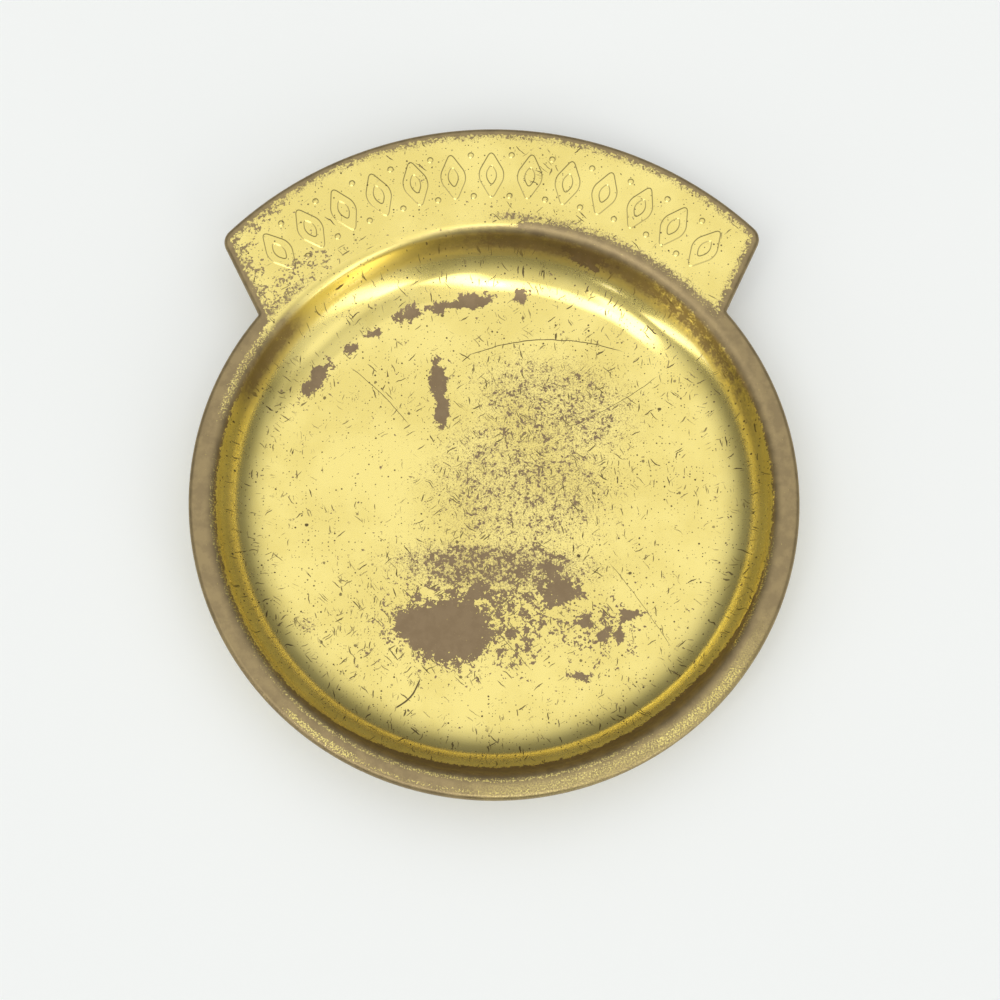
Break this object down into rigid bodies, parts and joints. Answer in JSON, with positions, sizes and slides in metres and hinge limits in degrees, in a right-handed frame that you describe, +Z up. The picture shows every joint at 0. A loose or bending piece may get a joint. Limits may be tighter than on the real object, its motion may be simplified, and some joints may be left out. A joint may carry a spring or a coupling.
{
  "type": "coin tray",
  "caption": "Round brass dish with a wide cove, a rounded rim and a flat arched banner plate behind, standing on a felt pad.",
  "frame": {"origin": "where the dish's axis meets the surface that the tray stands on", "axes": "+Z up along the dish's axis, +Y towards the banner, +X to the right as seen from the front"},
  "size_m": [0.127, 0.1452, 0.0141],
  "materials": {
    "brass": "polished and lacquered, worn to brown tarnish",
    "felt": "short matt felt"
  },
  "bodies": {
    "root": {"brass_tray": "brass", "felt_pad": "felt"}
  },
  "joints": []
}
